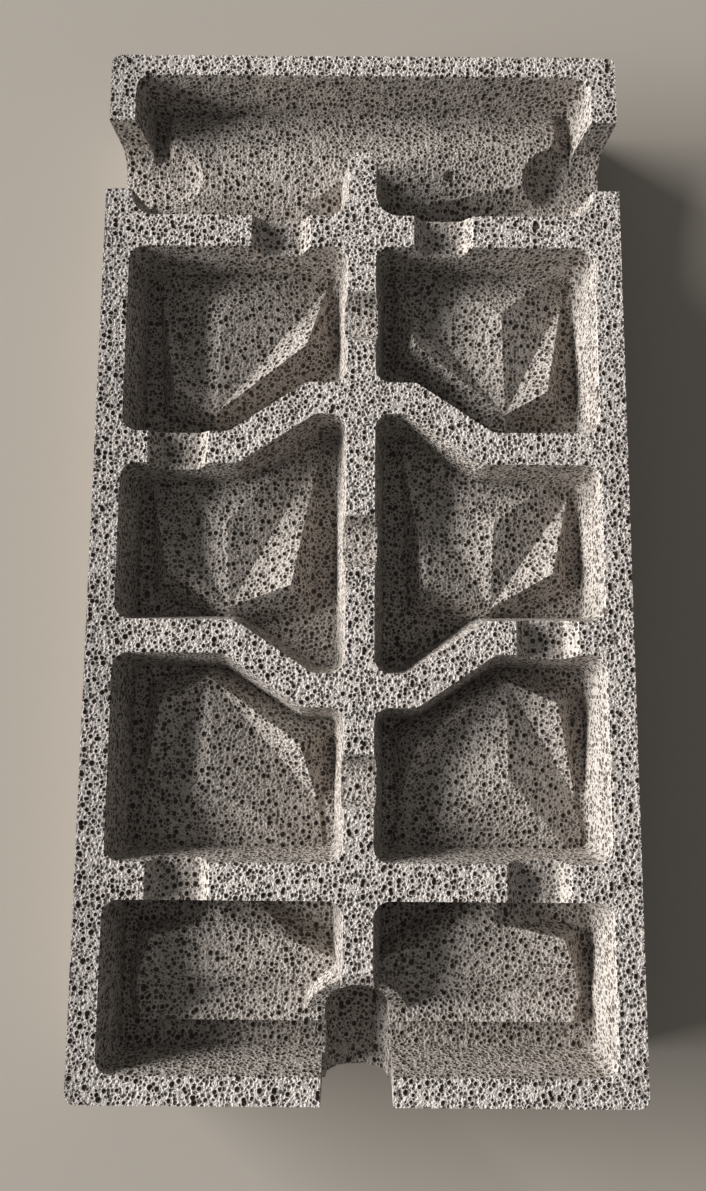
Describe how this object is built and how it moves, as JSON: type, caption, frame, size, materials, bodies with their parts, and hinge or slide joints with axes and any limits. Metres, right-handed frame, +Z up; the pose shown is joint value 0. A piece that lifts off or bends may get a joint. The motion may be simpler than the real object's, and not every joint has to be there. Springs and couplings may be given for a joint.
{
  "type": "concrete block",
  "caption": "Ribbed foamed-concrete block with an open tray side: faceted pockets between zigzag ribs, an end channel with side notches, and a slot through the front wall.",
  "frame": {"origin": "middle of the flat underside", "axes": "+X across the block, +Y along it from the slot end to the channel end, +Z up out of the open side"},
  "size_m": [0.2, 0.393, 0.045],
  "materials": {
    "concrete": "rough, full of open pores"
  },
  "bodies": {
    "root": {"block": "concrete"}
  },
  "joints": []
}
